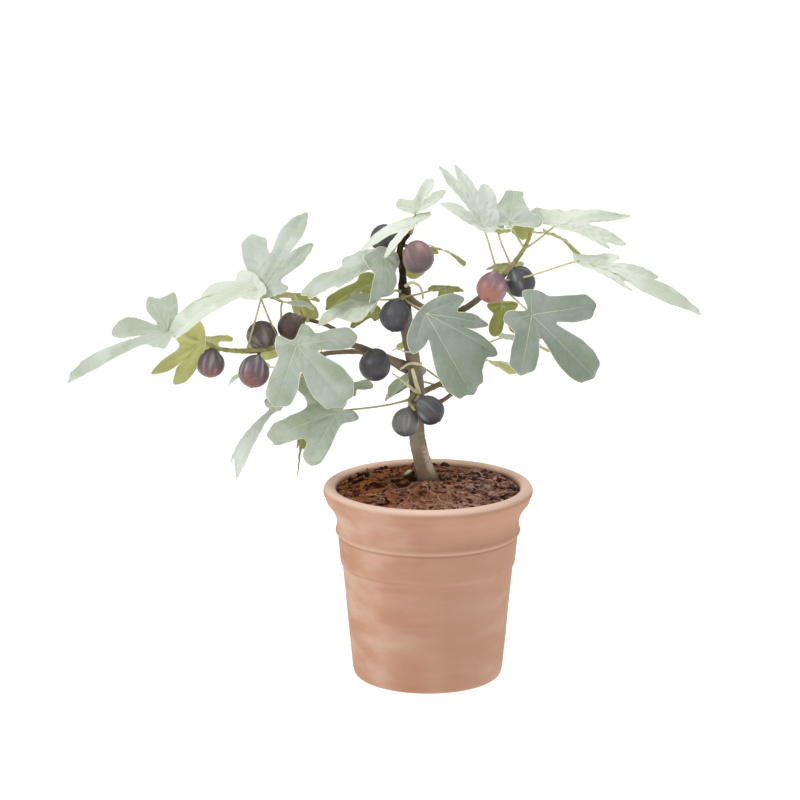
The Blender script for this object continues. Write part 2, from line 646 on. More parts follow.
strands = Bundle()
share = np.linspace(0, 1, DRY_ROOTS["points"])
(waver, waves), (least, more) = DRY_ROOTS["waver"], DRY_ROOTS["hump"]
for strand in range(DRY_ROOTS["count"]):
    start = DRY_ROOTS["start"] * np.sqrt(draw())
    bearing, heading = draw() * 2 * np.pi, draw() * 2 * np.pi
    length = np.interp(draw(), (0, 1), DRY_ROOTS["length"])
    swing = heading + (draw() - 0.5) * DRY_ROOTS["turn"] * share
    swing = swing + waver * np.sin(share * waves * draw())
    step = length / (DRY_ROOTS["points"] - 1)
    x, y = crawl(start * np.cos(bearing), start * np.sin(bearing), swing, step, DRY_ROOTS["reach"])
    hump = least + more * np.sin(np.pi * share) * draw()
    radii = np.interp(draw(), (0, 1), DRY_ROOTS["thick"]) * (1 - DRY_ROOTS["taper"] * share)
    path = np.stack([x, y, soil_height(x, y) + hump], axis=-1)
    strands.skin(tube(path, radii, DRY_ROOTS["sides"]))
strands.piece("dry_roots", "soil", [], plain_finish("dry root", DRY_ROOTS["colour"], 0.9, 90.0))

surface_roots = Bundle()
share = np.linspace(0, 1, SURFACE_ROOT["points"])
for strand, (x, y, bearing, length, bend, thick) in enumerate(SURFACE_ROOTS):
    wander = 22 * np.sin(share * 7 + strand) + 12 * np.sin(share * 17 + 2 * strand)
    swing = np.radians(bearing + bend * share + wander)
    x, y = crawl(x, y, swing, length / (SURFACE_ROOT["points"] - 1), SURFACE_ROOT["reach"])
    lift = thick * (0.1 + 0.3 * np.sin(share * 5 + strand)) * (1 - share * 0.6)
    height = np.pad(soil_height(x, y) + lift, 3, mode="edge")
    path = np.stack([x, y, np.convolve(height, np.ones(7) / 7, mode="valid")], axis=-1)
    radii = thick * (1 - 0.75 * share) * (1 + 0.2 * fractal(path, 6, 70 + strand, 2))
    surface_roots.skin(tube(path, radii, SURFACE_ROOT["sides"]))
root_skin = plain_finish("root skin", SURFACE_ROOT["colour"], 0.9, 120.0, 0.45)
surface_roots.piece("surface_roots", "soil", [], root_skin)


def lobed(radius, height, angle):
    """Three low lobes that wind up the side, sin(3 a + z / 2), and none where it closes."""
    return 1.1 * np.sin(3 * angle + height / 2) * (radius > 3)


for name, (middle, radii, heights, colour) in STUBS.items():
    share, knots = np.linspace(0, 1, 22), np.linspace(0, 1, len(radii))
    side = np.stack([np.interp(share, knots, radii), np.interp(share, knots, heights)], axis=-1)
    stub = Bundle()
    stub.skin(turned(side, 28, lobed) + np.array((*middle, 0)))
    made = Finish(name)
    if name == "old_stem":  # pale on its cut top, which slopes, and dark round its side
        height = made.along("Z") - made.along("X") * 0.6 + made.noise(120.0, 2.0) * 0.003
        pale = height.smooth(0.334, 0.3385)
    else:
        pale = made.noise(200.0, 3.0).smooth(0.3, 0.6)
    skin = made.layers(STUB_DARK, (pale, colour))
    made.surface(skin, 0.9, made.noise(160.0, 4.0), 0.5, 0.0008, 0.15)
    stub.piece(name, "soil", [], made.material)

# ---------------------------------------------------------------- trunk and boughs
# Living wood: a grey-brown trunk with a pale ridge at its flared foot, and long side boughs that
# turn from grey bark to brown young wood, ringed by the scars of fallen leaves.
TRUNK = {  # steps are (heading, rise, length), the angles in degrees; girths are (run, radius)
    "start": (0, 25, 304.3),
    "steps": ((-172, 76, 69), (-94, 86, 81), (-150, 81, 53), (-160, 79, 61), (-111, 87, 48)),
    "girth": ((0, 18), (22, 13.5), (70, 12), (200, 10.8), (262, 10.5), (312, 9)),
}
BOUGHS = {
    "leader": ((-39, 6, 604), ((-90, 86, 31), (-152, 80, 32), (-18, 73, 21), (0, 50, 12)),
               ((0, 5.5), (40, 4.5), (96, 3.6))),
    "left_bough": ((-31, 12, 488), ((-168, 24, 64), (-166, 20, 36), (-169, -1, 62), (-165, 3, 28)),
                   ((0, 7.5), (60, 6.2), (190, 5))),
    "left_fork_bough": ((-116, -5, 529), ((172, 34, 42), (180, 19, 32)), ((0, 4.6), (74, 3.8))),
    "left_back_bough": ((-32, 18, 478), ((152, 19, 64), (145, -5, 61), (150, -12, 40)),
                        ((0, 6), (165, 4.2))),
    "right_bough": ((-38, 6, 601),
                    ((-8, -34, 40), (-3, -15, 35), (-4, 24, 32), (-7, 38, 31), (-8, 44, 30)),
                    ((0, 7.5), (168, 4.6))),
    "back_right_bough": ((-17, 20, 441), ((44, 10, 60), (58, 12, 60)), ((0, 6.5), (120, 4.5))),
    "back_low_bough": ((-12, 22, 417), ((14, 18, 36), (50, 16, 36)), ((0, 5), (72, 3.8))),
}
SPAN_POINTS = 40
STOUT = {"leader": 1.14, "right_bough": 0.88}  # times the girths above, else slimmer at the root
SLIM = {"girth": 0.82, "root": 0.16, "reach": 50}
COLLAR = {"out": 0.8, "middle": 8, "reach": 9}
FLUTES = ((1.4, 3, 0.5), (1.0, 5, 2))  # depth, number and turn, at the trunk's foot
FLUTE_REACH = 16
RIDGE = {"out": 1.5, "turn": 2.3, "width": 0.4, "middle": 34, "reach": 21}
TRUNK_AGE = ((0, 0.35), (8, 0.6), (26, 0.88), (74, 0.85), (120, 0.62), (240, 0.56), (300, 0.3))
PALE_SIDE = {"by": 0.1, "turn": 2.6, "below": 110}
AGES = {"leader": (0.12, 0.04)}  # at a bough's root and its end, where they aren't the usual
USUAL_AGES = (0.56, 0.34)
WINDING = 0.004
PLATES = {"out": 0.55, "size": 4.2, "across": (1, 1, 0.28)}
CRACKS = {"deep": 0.5, "size": 1.9, "across": (1, 1, 0.5), "bare": 0.25}
SCARS = {"out": 0.45, "width": 3.2, "stray": 2, "stray_size": 9}
TRUNK_MESH = {"rings": 300, "sides": 56}
BOUGH_MESH = {"pace": 1.1, "sides": 30}
BARK = {
    "old": ((0.29, 0.22, 0.145), (0.58, 0.49, 0.37)), "mottled": (0.64, 0.56, 0.44),
    "young": ((0.022, 0.014, 0.007), (0.085, 0.06, 0.032)), "worn": (0.5, 0.43, 0.32),
    "rust": (0.3, 0.15, 0.085), "ridge": (0.74, 0.64, 0.51),
}


def direction(heading, rise):
    """The unit vector at a heading and a rise, both in degrees."""
    heading, rise = math.radians(heading), math.radians(rise)
    level = math.cos(rise)
    return np.array((level * math.cos(heading), level * math.sin(heading), math.sin(rise)))


def travel(point, step):
    """The point a step on: a heading, a rise and a length."""
    return point + direction(step[0], step[1]) * step[2]


def distance_along(points):
    """The length of the line through the points, up to each of them."""
    return np.concatenate([[0], np.cumsum(np.linalg.norm(np.diff(points, axis=0), axis=1))])


def read_curve(points, distance, at):
    """The curve's points at those distances, each coordinate read between its neighbours."""
    return np.stack([np.interp(at, distance, column) for column in points.T], axis=-1)


def spline_span(a, b, c, d, share):
    """The part from b to c of a centripetal Catmull-Rom curve: a cubic whose slopes at b and c come
    from the knots on either side, with each span weighed by the root of its length."""
    pairs = ((a, b), (b, c), (c, d))
    before, span, after = (math.sqrt(max(np.linalg.norm(q - p), 1e-6)) for p, q in pairs)
    leave = ((b - a) / before - (c - a) / (before + span) + (c - b) / span) * span
    arrive = ((c - b) / span - (d - b) / (span + after) + (d - c) / after) * span
    cube = 2 * b - 2 * c + leave + arrive
    square = -3 * b + 3 * c - 2 * leave - arrive
    return cube * share**3 + square * share**2 + leave * share + b


class Route:
    """A smooth curve through a start and the ends of its steps, read by the distance along it. Its
    first and last spans use the ends carried straight on."""

    def __init__(self, start, steps):
        knots = [np.array(start, float)]
        for step in steps:
            knots.append(travel(knots[-1], step))
        knots = [2 * knots[0] - knots[1], *knots, 2 * knots[-1] - knots[-2]]
        share = np.linspace(0, 1, SPAN_POINTS)[:, None]
        spans = [spline_span(*four, share) for four in zip(knots, knots[1:], knots[2:], knots[3:])]
        self.points = np.concatenate([spans[0], *(span[1:] for span in spans[1:])])
        self.distance = distance_along(self.points)
        self.length = self.distance[-1]

    def at(self, distance):
        """The points at those distances from the start."""
        return read_curve(self.points, self.distance, np.clip(distance, 0, self.length))


def read(rows, distance):
    """The value at a distance, from rows of a distance and a value."""
    return np.interp(distance, *zip(*rows))


def bark_relief(path, radius, sides, rough, scars, seed):
    """How far the bark stands out, for each ring and side: long plates that wind a little, finer
    cracks across them, and a low bell-shaped swelling at each leaf scar."""
    turn = circle(sides)[None]
    run = distance_along(path)[:, None]
    wound = turn + WINDING * run
    across, over = radius[:, None] * np.cos(wound), radius[:, None] * np.sin(wound)
    skin = np.stack(np.broadcast_arrays(across, over, run), axis=-1)
    plates = PLATES["out"] * fractal(skin * PLATES["across"], PLATES["size"], seed, 3)
    cracks = noise(skin * CRACKS["across"], CRACKS["size"], seed + 9) - CRACKS["bare"]
    cracks = CRACKS["deep"] * -np.clip(cracks, 0, 1)
    stray = SCARS["stray"] * noise(skin, SCARS["stray_size"], seed + 3)
    off_scar = (run + stray) % scars - scars / 2
    return rough * (plates + cracks) + SCARS["out"] * np.exp(-(off_scar**2) / SCARS["width"])


wood = Bundle()
route = Route(TRUNK["start"], TRUNK["steps"])
run = np.linspace(0, route.length, TRUNK_MESH["rings"])
path, radius = route.at(run), read(TRUNK["girth"], run)
turn = circle(TRUNK_MESH["sides"])[None]
flutes = sum(deep * np.sin(number * turn + at) for deep, number, at in FLUTES)
flare = np.exp(-run / FLUTE_REACH)[:, None] * flutes
ridge = RIDGE["out"] * np.exp(-(((turn - RIDGE["turn"]) / RIDGE["width"]) ** 4))
ridge = ridge * np.exp(-((run[:, None] - RIDGE["middle"]) / RIDGE["reach"]) ** 4)
relief = bark_relief(path, radius, TRUNK_MESH["sides"], rough=0.9, scars=41, seed=21)
rows = tube(path, radius[:, None] + relief + flare + ridge, TRUNK_MESH["sides"])
rows[0, :, 2] = path[0, 2]
paler = PALE_SIDE["by"] * np.cos(turn - PALE_SIDE["turn"]) * (run < PALE_SIDE["below"])[:, None]
age = read(TRUNK_AGE, run)[:, None] + paler
wood.skin(rows, values=np.stack([age, np.clip(ridge, 0, 1)], axis=-1))

for seed, (name, (start, steps, girth)) in enumerate(BOUGHS.items(), 31):
    route = Route(start, steps)
    run = np.linspace(0, route.length, int(route.length / BOUGH_MESH["pace"]))
    path, radius = route.at(run), read(girth, run)
    collar = COLLAR["out"] * bell(run - COLLAR["middle"], COLLAR["reach"])
    stout = STOUT.get(name, SLIM["girth"] - SLIM["root"] * np.exp(-run / SLIM["reach"]))
    relief = bark_relief(path, radius, BOUGH_MESH["sides"], rough=0.5, scars=23, seed=seed)
    radii = (stout * radius + collar)[:, None] + relief
    first, last = AGES.get(name, USUAL_AGES)
    age = np.broadcast_to((first + (last - first) * run / route.length)[:, None], radii.shape)
    rows = tube(path, radii, BOUGH_MESH["sides"])
    wood.skin(rows, values=np.stack([age, np.zeros_like(age)], axis=-1))

bark = Finish("fig bark")
age = bark.attribute("age")
mottle = bark.noise(60.0, 5.0)
grain = bark.noise(260.0, 5.0)
patch = bark.noise(16.0, 2.0, bark.stretched((1.0, 1.0, 0.4)))
rust = bark.noise(26.0, 3.0).smooth(0.5, 0.62) * (1 - age) * age * 1.2
(old_dark, old_pale), (young_dark, young_pale) = BARK["old"], BARK["young"]
old = bark.layers(
    old_dark,
    (patch.smooth(0.36, 0.64), old_pale),
    (mottle.smooth(0.52, 0.75) * 0.3, BARK["mottled"]),
)
wood_colour = bark.layers(
    bark.layers(young_dark, (mottle.smooth(0.36, 0.66), young_pale)),
    ((age + (patch - 0.5) * 0.2).smooth(0.1, 0.95), old),
    (grain.smooth(0.6, 0.78) * age * 0.35, BARK["worn"]),
    (rust, BARK["rust"]),
    (bark.attribute("facet") * grain.smooth(0.3, 0.5) * 0.8, BARK["ridge"]),
)
bark.surface(wood_colour, 0.85, mottle + grain * 0.7, 0.4, 0.001, 0.2)
limbs = ["trunk", *BOUGHS]
wood.piece("wood_with_bark", "bark", limbs, bark.material, value_names=("age", "facet"))

# ---------------------------------------------------------------- stumps of old stalks
# Where leaves and twigs have dropped from the trunk, thin cream stumps are left, each tapering to
# its dry end. They leave the bark steeply and turn along or away from the trunk.
STUMPS = (  # where each starts, its steps, and its radii at both ends
    ((-14, 7, 445), ((-157, 75, 43),), (3.8, 2.4)),
    ((-10, 6, 492), ((-166, 8, 18), (-176, -30, 18)), (2.9, 1.7)),
    ((-17, 5, 447), ((-172, 42, 26), (-176, 38, 24)), (3.1, 1.0)),
    ((-15, 4, 443), ((-139, -50, 14), (-120, -74, 12)), (2.4, 1.5)),
    ((-24, 3, 512), ((-170, 8, 16), (-150, 48, 8), (172, -28, 12)), (1.5, 0.9)),
    ((-36, -2, 615), ((4, 30, 13), (-22, -24, 14), (-46, -66, 20)), (2.7, 1.5)),
    ((-41, -1, 607), ((-178, 10, 10), (-165, -40, 9)), (2.4, 1.4)),
)
STUMP = {"rings": 30, "sides": 12, "colour": (0.96, 0.89, 0.61)}


def add_tube(bundle, path, radii, sides, closed=False, finish=0):
    """A tube added to a bundle. A closed one joins its last ring to its first."""
    if closed:
        path = np.concatenate([path, path[:1]])
        radii = np.concatenate([radii, radii[:1]])
    bundle.skin(tube(path, radii, sides, carried=True), np.full(len(path), finish))


stumps = Bundle()
for start, steps, ends in STUMPS:
    route = Route(start, steps)
    run = np.linspace(0, route.length, STUMP["rings"])
    add_tube(stumps, route.at(run), np.interp(run, (0, route.length), ends), STUMP["sides"])
stump_finish = plain_finish("stalk stump", STUMP["colour"], 0.6, 70.0, 0.76, 0.2)
stumps.piece("stalk_stumps", "foliage", [], stump_finish)

# ---------------------------------------------------------------- crown: its plan and green stems
# Each mass of the crown grows from one stem at the end of a bough, green with a terminal bud, which
# carries long-stalked lobed leaves and a few figs. On the far side leaves hang outward and down.
# Leaves are (along, stalk, blade, form, roll, droop, tone), and figs are (along, hang, radius,
# ripeness). A stalk, blade or hang is a step, and back is how many leaves the far side has.
MASSES = {
    "crown_left_end": {
        "start": (-210, -28, 529),
        "steps": ((-174, -4, 20), (-172, -8, 37), (-174, 5, 50), (-175, 25, 27)),
        "girth": ((0, 4.8), (60, 4.2), (134, 2.4)),
        "back": 2,
        "leaves": (
            (134, (-162, 19, 60), (-169, -21, 170), "swept", -24, 10, "pale"),
            (66, (20, 79, 95), (-168, -24, 157), "arched", -22, 50, "frost"),
            (131, (-136, 5, 8), (177, -38, 90), "trailing", 104, 10, "fresh"),
            (14, (154, 69, 89), (38, 52, 143), "upright", 25, 10, "pale"),
            (12, (87, 61, 70), (14, -14, 50), "pair", 22, 10, "sage"),
            (16, (-48, 13, 42), (-19, -52, 113), "open", 66, 10, "sage"),
        ),
        "figs": (
            (118, (-171, -80, 28), 21.5, "plum"),
            (46, (-117, -57, 38), 23.5, "plum"),
            (34, (119, 37, 26), 23.5, "umber"),
        ),
    },
    "crown_left_low": {
        "start": (-160, 100, 484),
        "steps": ((-147, -30, 42), (-110, -37, 27)),
        "girth": ((0, 4), (69, 2.6)),
        "back": 2,
        "leaves": (
            (42, (-123, -25, 85), (-156, -56, 130), "drooping", -10, 10, "silver"),
            (69, (-54, -51, 69), (-148, -59, 91), "tail", 50, 10, "sage"),
            (6, (-41, -36, 69), (4, 8, 38), "plain", 40, 10, "sage"),
        ),
        "figs": (),
    },
    "crown_left_fork": {
        "start": (-186, 0, 565),
        "steps": ((-172, 10, 16),),
        "girth": ((0, 3.8), (16, 2.8)),
        "back": 1,
        "leaves": (),
        "figs": ((10, (-151, -45, 20), 22, "umber"),),
    },
    "crown_low_front": {
        "start": (-22, 8, 445),
        "steps": ((-103, -14, 28), (-53, -40, 9)),
        "girth": ((0, 4), (37, 3)),
        "back": 0,
        "leaves": (
            (20, (-165, -6, 116), (-174, -15, 108), "spread", -68, 10, "sage"),
        ),
        "figs": (
            (30, (-162, -77, 33), 21, "ash"),
            (24, (-19, -23, 37), 21.5, "slate"),
        ),
    },
    "crown_mid_front": {
        "start": (-38, 0, 600),
        "steps": ((-95, 3, 22),),
        "girth": ((0, 4.5), (22, 3.2)),
        "back": 0,
        "leaves": (
            (14, (-53, -14, 60), (-32, -64, 139), "central", 54, 25, "deep"),
            (16, (-148, 2, 54), (-173, -19, 92), "dart", -25, 10, "frost"),
            (6, (35, 3, 79), (84, -48, 60), "plain", 0, 10, "sage"),
            (6, (146, -33, 53), (-172, -26, 50), "plain", 48, 10, "sage"),
        ),
        "figs": ((18, (-126, -57, 32), 24, "slate"),),
    },
    "crown_leader_left": {
        "start": (-43, 2, 663),
        "steps": ((-160, 20, 14),),
        "girth": ((0, 3), (14, 2.4)),
        "back": 0,
        "leaves": (
            (10, (-119, 14, 41), (-96, -79, 94), "hanging", -51, 10, "sage"),
            (6, (-152, -16, 42), (-170, -12, 124), "sheet", -14, 10, "pale"),
            (10, (138, -53, 64), (-176, -24, 86), "plain", 42, 10, "sage"),
        ),
        "figs": ((10, (136, 44, 30), 21.5, "slate"),),
    },
    "crown_leader_right": {
        "start": (-36, 1, 678),
        "steps": ((-30, -10, 14),),
        "girth": ((0, 3), (14, 2.4)),
        "back": 2,
        "leaves": (),
        "figs": ((10, (-59, -28, 27), 24, "mauve"),),
    },
    "crown_top": {
        "start": (-28, 0, 696),
        "steps": ((-40, 64, 14),),
        "girth": ((0, 3.5), (14, 2.4)),
        "back": 0,
        "leaves": (
            (12, (30, 77, 26), (46, 56, 56), "young", 28, 0, "frost"),
            (10, (-71, 36, 17), (-166, -22, 92), "forked", -21, 10, "frost"),
        ),
        "figs": (),
    },
    "crown_right_end": {
        "start": (104, -8, 622),
        "steps": ((-5, 50, 33), (0, 55, 34), (11, 66, 27), (33, 70, 16)),
        "girth": ((0, 4.4), (110, 2.4)),
        "back": 3,
        "leaves": (
            (8, (-132, 64, 96), (163, 53, 114), "hand", -25, 0, "frost"),
            (68, (-166, 62, 47), (85, 38, 70), "crest", 3, 10, "pale"),
            (34, (-141, 66, 60), (-53, 26, 35), "young", 0, 10, "sage"),
            (67, (0, 35, 63), (13, 5, 115), "flat", 26, 5, "frost"),
            (4, (-21, 16, 142), (-14, -16, 194), "long", 24, 10, "frost"),
            (4, (-49, -28, 85), (-17, -48, 135), "fan", 67, 10, "deep"),
            (16, (94, -69, 52), (90, -70, 58), "split", 0, 10, "sage"),
        ),
        "figs": (
            (6, (-113, -13, 33), 23, "rose"),
            (34, (22, -60, 31), 23, "slate"),
        ),
    },
    "crown_back_right": {
        "start": (56, 110, 464),
        "steps": ((75, 25, 36), (130, 45, 24)),
        "girth": ((0, 4.2), (60, 2.6)),
        "back": 4,
        "leaves": (),
        "figs": ((12, (158, -22, 29), 21, "slate"),),
    },
    "crown_back_low": {
        "start": (43, 57, 438),
        "steps": ((60, 20, 22),),
        "girth": ((0, 3.6), (22, 2.6)),
        "back": 2,
        "leaves": (),
        "figs": (),
    },
    "bough_fig": {
        "start": (-72, 4, 508),
        "steps": ((-106, -10, 10),),
        "girth": ((0, 2.6), (10, 2.6)),
        "back": 0,
        "leaves": (),
        "figs": ((6, (-106, -18, 31), 24, "slate"),),
    },
}
# A form is its lobes and how far its bays reach in. A lobe is (direction, length, half width, lift,
# own bay): degrees from the midrib, a share of the blade's length, degrees, and degrees upward.
FORM = {
    "fan": (((-138, 0.26, 20, 4), (-54, 0.72, 18, 4), (-1, 1, 17, 0), (55, 0.68, 20, 4),
             (122, 0.32, 20, 4)), 0.28),
    "open": (((-108, 0.3, 16, 6), (-58, 0.81, 15, 4), (0, 1.03, 23, 0, 0.36), (59, 0.87, 20, 4),
              (137, 0.27, 18, 4)), 0.29),
    "spread": (((-150, 0.32, 20, 4), (-50, 0.85, 16, 0, 0.6), (-9, 1.05, 14, 0, 0.43),
                (52, 0.74, 16, 0), (128, 0.24, 18, 4)), 0.2),
    "central": (((-80, 0.45, 17, 4, 0.34), (-49, 0.7, 9, 2, 0.2), (-30, 0.93, 7, 0, 0.84),
                 (2, 1.04, 19, 0, 0.28), (50, 0.46, 18, 2)), 0.22),
    "upright": (((-90, 0.2, 14, 4), (-37, 0.67, 18, 4, 0.42), (0, 1, 10, 0, 0.48), (24, 0.75, 9, 2),
                 (62, 0.3, 14, 4)), 0.24),
    "hand": (((-29, 0.66, 11, 0, 0.26), (2, 1, 8, 0, 0.5), (21, 0.94, 9, 0, 0.53),
              (52, 0.75, 14, 0, 0.42), (108, 0.36, 20, 4)), 0.3),
    "crest": (((-84, 0.52, 22, 4), (3, 1, 19, 0), (84, 0.7, 22, 4)), 0.52),
    "swept": (((-58, 0.22, 12, 10), (-2, 1, 11, 0), (36, 0.58, 11, -4, 0.12),
               (82, 0.4, 15, 30, 0.33), (122, 0.37, 13, 38)), 0.24),
    "arched": (((-66, 0.3, 14, 18), (-15, 1, 12, 5, 0.46), (19, 0.59, 15, 3),
                (60, 0.3, 18, 14)), 0.26),
    "trailing": (((-98, 0.42, 16, 0, 0.4), (-52, 0.58, 15, 0), (0, 1, 8, 0),
                  (26, 0.84, 13, 0)), 0.4),
    "drooping": (((-70, 0.14, 20, 4), (-1, 1, 8, 0, 0.84), (17, 0.93, 5, 0),
                  (85, 0.22, 30, 4)), 0.12),
    "tail": (((-38, 0.72, 12, 4), (-1, 1, 6, 0), (36, 0.7, 10, 4)), 0.5),
    "long": (((-144, 0.14, 14, 4), (-34, 0.29, 13, 0, 0.2), (-11, 0.59, 7, 0, 0.42),
              (1, 1, 8, 0, 0.34), (20, 0.47, 5, 0)), 0.1),
    "flat": (((-124, 0.54, 22, 0), (-4, 1.03, 5, 0, 0.4), (31, 0.93, 8, 0, 0.66),
              (46, 0.8, 6, 0)), 0.34),
    "forked": (((-35, 0.9, 6, 4, 0.36), (0, 1, 11, 0), (154, 0.36, 18, 4)), 0.2),
    "hanging": (((-60, 0.43, 18, 4), (-23, 0.74, 11, 4, 0.74), (1, 1, 9, 0),
                 (52, 0.33, 20, 4)), 0.4),
    "dart": (((-48, 0.55, 12, 4, 0.6), (-2, 0.97, 15, 0, 0.4), (54, 0.34, 14, 4)), 0.3),
    "sheet": (((-46, 0.55, 8, 4, 0.66), (-24, 0.96, 6, 2, 0.94), (-8, 0.97, 8, 0, 0.38),
               (38, 0.42, 22, 4, 0.4), (92, 0.42, 16, 4)), 0.3),
    "split": (((-62, 0.4, 22, 4), (-12, 1, 16, 0, 0.5), (24, 0.95, 13, 0), (70, 0.4, 20, 4)), 0.4),
    "plain": (((-66, 0.5, 22, 6), (0, 1, 22, 0), (66, 0.5, 22, 6)), 0.36),
    "young": (((-85, 0.6, 22, 5), (2, 1, 14, 0, 0.34), (35, 0.98, 11, 5)), 0.3),
    "pair": (((0, 1, 17, 0), (145, 0.7, 18, 40)), 0.3),
}
BACK = {
    "seed": 7860, "tries": 40,
    "along": (0.15, 0.95), "heading": (15, 165), "rise": (-20, 30), "stalk": (34, 78),
    "turn": (-40, 40), "hang": (-14, -48), "length": (60, 82), "lie": ("plain", 0, 10),
    "tone": "far", "reach": 150, "ball": 0.17, "balls_at": (0.5, 0.9), "pace": 10,
}
SHOOT = {
    "sides": 18, "bud": (-1, 9, 14), "swell": ((0, 0.9), (0.3, 1.12), (0.6, 0.8), (1, 0.08)),
    "woody": ((0.26, 0.2, 0.1), (0.46, 0.4, 0.24)), "green": ((0.33, 0.34, 0.09), (0.5, 0.5, 0.2)),
}


def draws(seed):
    """Numbers from 0 to 1 by the rule of Park and Miller."""
    while True:
        seed = seed * 16807 % 2147483647
        yield seed / 2147483647


def blade_axes(heading, rise, roll, droop):
    """The midrib's direction, the upper face's and the right-hand side's."""
    along = direction(heading, rise + droop / 2)
    level = direction(heading, rise + droop / 2 + 90)
    turn = math.radians(roll)
    face = level * math.cos(turn) + np.cross(along, level) * math.sin(turn)
    return along, face, np.cross(along, face)


def spots(base, blade, form, roll, droop):
    """Rows of (x, y, z, radius): balls along a blade's lobes that stand for it when the room
    around it is judged."""
    along, _, right = blade_axes(blade[0], blade[1], roll, droop)
    points = [base]
    for lobe in FORM[form][0]:
        angle = math.radians(lobe[0])
        outward = along * math.cos(angle) + right * math.sin(angle)
        points += [base + outward * share * lobe[1] * blade[2] for share in BACK["balls_at"]]
    return np.array([[*point, BACK["ball"] * blade[2]] for point in points])


def taken_room():
    """Balls for the limbs and for every leaf and fig that has a row of its own."""
    balls = []
    for start, steps, girth in [tuple(TRUNK.values()), *BOUGHS.values()]:
        route = Route(start, steps)
        run = np.arange(0, route.length, BACK["pace"])
        balls.append(np.column_stack([route.at(run), read(girth, run)]))
    for mass in MASSES.values():
        stem = Route(mass["start"], mass["steps"])
        for along, stalk_step, blade, form, roll, droop, _ in mass["leaves"]:
            base = travel(stem.at(min(along, stem.length)), stalk_step)
            balls.append(spots(base, blade, form, roll, droop))
        for along, hang, radius, _ in mass["figs"]:
            balls.append(np.array([[*travel(stem.at(min(along, stem.length)), hang), radius]]))
    return np.concatenate(balls)


def grow_back_leaves(taken):
    """Rows for the far side's leaves: each is drawn by the seeded rule, and one that would leave
    its mass's reach or touch what is there already is skipped."""
    random = draws(BACK["seed"])

    def between(name):
        low, high = BACK[name]
        return low + (high - low) * next(random)

    rows = {}
    for name, mass in MASSES.items():
        stem = Route(mass["start"], mass["steps"])
        middle = stem.at(stem.length / 2)
        rows[name] = []
        for _ in range(BACK["tries"] if mass["back"] else 0):
            along = stem.length * between("along")
            heading = between("heading")
            stalk_step = (heading, between("rise"), between("stalk"))
            blade = (heading + between("turn"), between("hang"), between("length"))
            new = spots(travel(stem.at(along), stalk_step), blade, *BACK["lie"])
            inside = np.linalg.norm(new[:, :3] - middle, axis=1).max() < BACK["reach"]
            apart = np.linalg.norm(new[:, None, :3] - taken[:, :3], axis=-1)
            free = (apart - new[:, None, 3] - taken[:, 3]).min() > 0
            if inside and free and len(rows[name]) < mass["back"]:
                taken = np.concatenate([taken, new])
                rows[name].append((along, stalk_step, blade, *BACK["lie"], BACK["tone"]))
    return rows


back_rows = grow_back_leaves(taken_room())
leaf_rows, fig_rows = [], []  # a number, which seeds the shape, the node, and the rest of a row
shoots = Bundle()
for name, mass in MASSES.items():
    stem = Route(mass["start"], mass["steps"])
    for rows, grown in ((leaf_rows, (*mass["leaves"], *back_rows[name])), (fig_rows, mass["figs"])):
        for along, *rest in grown:
            number = len(leaf_rows) + len(fig_rows) + 1
            rows.append((number, stem.at(min(along, stem.length)), *rest))
    run = np.linspace(0, stem.length, max(8, int(stem.length / 2)))
    path, radius = stem.at(run), read(mass["girth"], run)
    relief = bark_relief(path, radius, SHOOT["sides"], rough=0.22, scars=13, seed=60)
    radii = radius[:, None] + relief
    youth = np.broadcast_to((run / 110)[:, None], radii.shape)
    shoots.skin(tube(path, radii, SHOOT["sides"], carried=True), values=youth)
    last = path[-1] - path[-2]
    bud = path[-1] + np.outer(np.linspace(*SHOOT["bud"]), last) / np.linalg.norm(last)
    swell = radius[-1] * read(SHOOT["swell"], np.linspace(0, 1, len(bud)))
    bud = tube(bud, swell, SHOOT["sides"], carried=True)
    shoots.skin(bud, values=np.ones(bud.shape[:2]))

rind = Finish("green shoot")
patch = rind.noise(90.0, 4.0)
mottled = patch.smooth(0.36, 0.64)
skins = (SHOOT["woody"], SHOOT["green"])
woody, green = (rind.layers(dark, (mottled, pale)) for dark, pale in skins)
shoot_colour = rind.layers(woody, (rind.attribute("youth").smooth(0.1, 0.75), green))
rind.surface(shoot_colour, 0.6, patch, 0.3, 0.0006, 0.3)
shoots.piece("shoots", "foliage", [], rind.material, value_names=("youth",))

# ---------------------------------------------------------------- leaves
# A fig leaf is a thick, lobed blade, blue-grey above and olive below, with cream veins that fan
# out from the stalk, one to each lobe, and a fine pale edge. It hangs on a long smooth stalk.
TONES = {  # the upper face, what it drifts towards, and the under face
    "frost": ((0.7, 0.75, 0.69), (0.53, 0.6, 0.46), (0.78, 0.81, 0.62)),
    "silver": ((0.74, 0.79, 0.74), (0.62, 0.69, 0.6), (0.86, 0.9, 0.82)),
    "pale": ((0.515, 0.57, 0.515), (0.37, 0.45, 0.32), (0.54, 0.57, 0.32)),
    "sage": ((0.485, 0.545, 0.485), (0.31, 0.39, 0.245), (0.37, 0.4, 0.1)),
    "deep": ((0.34, 0.39, 0.36), (0.23, 0.3, 0.2), (0.3, 0.33, 0.1)),
    "fresh": ((0.5, 0.54, 0.38), (0.44, 0.49, 0.23), (0.6, 0.61, 0.23)),
    "far": ((0.4, 0.465, 0.37), (0.32, 0.385, 0.22), (0.42, 0.44, 0.13)),
}
RIB_CREAM = (0.84, 0.85, 0.62)
EDGE_COLOUR, STALK_COLOUR = (0.84, 0.87, 0.68), (0.66, 0.63, 0.34)
WIDE_LOBE = 11.5  # length times half width, above which a lobe gets the rounder of the two shapes
WIDE_SHAPE = ((-1, 0.68), (-0.6, 0.92), (0, 1), (0.6, 0.92), (1, 0.68))
